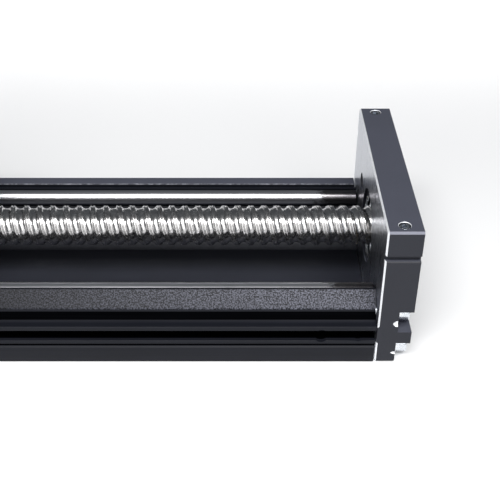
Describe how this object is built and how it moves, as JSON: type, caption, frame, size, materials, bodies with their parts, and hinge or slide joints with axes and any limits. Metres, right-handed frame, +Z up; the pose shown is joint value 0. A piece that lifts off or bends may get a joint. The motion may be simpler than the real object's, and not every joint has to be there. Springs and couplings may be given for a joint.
{
  "type": "ball screw linear module",
  "caption": "U-shaped base profile with end blocks, guide shafts and a ball screw that drives a carriage plate on grooved rollers.",
  "frame": {"origin": "bottom centre of the module", "axes": "+X along the screw towards the free end, +Y to the rear, +Z up"},
  "size_m": [0.305, 0.09, 0.058],
  "materials": {
    "black_anodised": "black anodised extrusion",
    "dark_coated": "dark grey anodised, milled",
    "polished_steel": "hard chromed and ground",
    "rolled_steel": "rolled thread, lightly oiled",
    "bearing_steel": "ground",
    "zinc_steel": "zinc plated",
    "spring_steel": "blackened",
    "nut_steel": "ground",
    "wiper_plastic": "moulded",
    "cage_brass": "stamped"
  },
  "bodies": {
    "base": {"base_profile": "black_anodised", "guide_shaft_front": "polished_steel", "guide_shaft_rear": "polished_steel", "rear_sensor_rail": "dark_coated", "free_end_block": "dark_coated", "drive_end_block": "dark_coated", "end_bolt_free_front_upper": "zinc_steel", "end_bolt_free_front_lower": "zinc_steel", "end_bolt_free_rear_upper": "zinc_steel", "end_bolt_free_rear_lower": "zinc_steel", "end_bolt_drive_front_upper": "zinc_steel", "end_bolt_drive_front_lower": "zinc_steel", "end_bolt_drive_rear_upper": "zinc_steel", "end_bolt_drive_rear_lower": "zinc_steel", "set_screw_free_front": "zinc_steel", "set_screw_free_rear": "zinc_steel", "set_screw_drive_front": "zinc_steel", "set_screw_drive_rear": "zinc_steel", "free_bearing_outer_ring": "bearing_steel", "drive_bearing_inner_outer_ring": "bearing_steel", "drive_bearing_outer_outer_ring": "bearing_steel", "bore_circlip": "spring_steel", "bearing_cover": "dark_coated", "cover_screw_1": "zinc_steel", "cover_screw_2": "zinc_steel", "cover_screw_3": "zinc_steel", "cover_screw_4": "zinc_steel"},
    "screw": {"ball_screw": "rolled_steel", "free_bearing_inner_ring": "bearing_steel", "drive_bearing_inner_inner_ring": "bearing_steel", "drive_bearing_outer_inner_ring": "bearing_steel", "journal_circlip": "spring_steel", "bearing_spacer": "bearing_steel", "lock_nut": "spring_steel"},
    "free_bearing_balls": {"free_bearing_ball_cage": "cage_brass"},
    "drive_bearing_inner_balls": {"drive_bearing_inner_ball_cage": "cage_brass"},
    "drive_bearing_outer_balls": {"drive_bearing_outer_ball_cage": "cage_brass"},
    "carriage": {"carriage_table": "black_anodised", "nut_housing": "dark_coated", "ball_nut": "nut_steel", "nut_wiper_free": "wiper_plastic", "nut_wiper_drive": "wiper_plastic", "flange_screw_1": "zinc_steel", "flange_screw_2": "zinc_steel", "flange_screw_3": "zinc_steel", "flange_screw_4": "zinc_steel", "table_screw_1": "zinc_steel", "table_screw_2": "zinc_steel", "table_screw_3": "zinc_steel", "table_screw_4": "zinc_steel", "roller_axle_front_drive": "zinc_steel", "roller_axle_rear_drive": "zinc_steel", "roller_axle_front_free": "zinc_steel", "roller_axle_rear_free": "zinc_steel"},
    "roller_front_drive": {"roller_front_drive": "bearing_steel"},
    "roller_rear_drive": {"roller_rear_drive": "bearing_steel"},
    "roller_front_free": {"roller_front_free": "bearing_steel"},
    "roller_rear_free": {"roller_rear_free": "bearing_steel"}
  },
  "joints": [
    {"name": "carriage_slide", "type": "slide", "parent": "base", "child": "carriage", "axis": [1, 0, 0], "range_m": [0, 0.15]},
    {"name": "screw_turn", "type": "hinge", "parent": "base", "child": "screw", "pos_m": [0, 0, 0.0284], "axis": [1, 0, 0], "range_deg": [-5400, 0]},
    {"name": "free_balls_turn", "type": "hinge", "parent": "base", "child": "free_bearing_balls", "pos_m": [0.1468, 0, 0.0284], "axis": [1, 0, 0], "range_deg": [-2300, 0]},
    {"name": "drive_inner_balls_turn", "type": "hinge", "parent": "base", "child": "drive_bearing_inner_balls", "pos_m": [-0.1158, 0, 0.0284], "axis": [1, 0, 0], "range_deg": [-2300, 0]},
    {"name": "drive_outer_balls_turn", "type": "hinge", "parent": "base", "child": "drive_bearing_outer_balls", "pos_m": [-0.1241, 0, 0.0284], "axis": [1, 0, 0], "range_deg": [-2300, 0]},
    {"name": "roller_front_drive_turn", "type": "hinge", "parent": "carriage", "child": "roller_front_drive", "pos_m": [-0.0935, -0.0221, 0.0214], "axis": [0, 0, 1], "range_deg": [-1440, 0]},
    {"name": "roller_rear_drive_turn", "type": "hinge", "parent": "carriage", "child": "roller_rear_drive", "pos_m": [-0.0935, 0.0221, 0.0214], "axis": [0, 0, 1], "range_deg": [0, 1440]},
    {"name": "roller_front_free_turn", "type": "hinge", "parent": "carriage", "child": "roller_front_free", "pos_m": [-0.0255, -0.0221, 0.0214], "axis": [0, 0, 1], "range_deg": [-1440, 0]},
    {"name": "roller_rear_free_turn", "type": "hinge", "parent": "carriage", "child": "roller_rear_free", "pos_m": [-0.0255, 0.0221, 0.0214], "axis": [0, 0, 1], "range_deg": [0, 1440]}
  ],
  "couplings": [
    {"joint": "screw_turn", "follows": "carriage_slide", "rad_per_m": -628.32},
    {"joint": "free_balls_turn", "follows": "carriage_slide", "rad_per_m": -267.04},
    {"joint": "drive_inner_balls_turn", "follows": "carriage_slide", "rad_per_m": -267.04},
    {"joint": "drive_outer_balls_turn", "follows": "carriage_slide", "rad_per_m": -267.04},
    {"joint": "roller_front_drive_turn", "follows": "carriage_slide", "rad_per_m": -166.67},
    {"joint": "roller_rear_drive_turn", "follows": "carriage_slide", "rad_per_m": 166.67},
    {"joint": "roller_front_free_turn", "follows": "carriage_slide", "rad_per_m": -166.67},
    {"joint": "roller_rear_free_turn", "follows": "carriage_slide", "rad_per_m": 166.67}
  ]
}
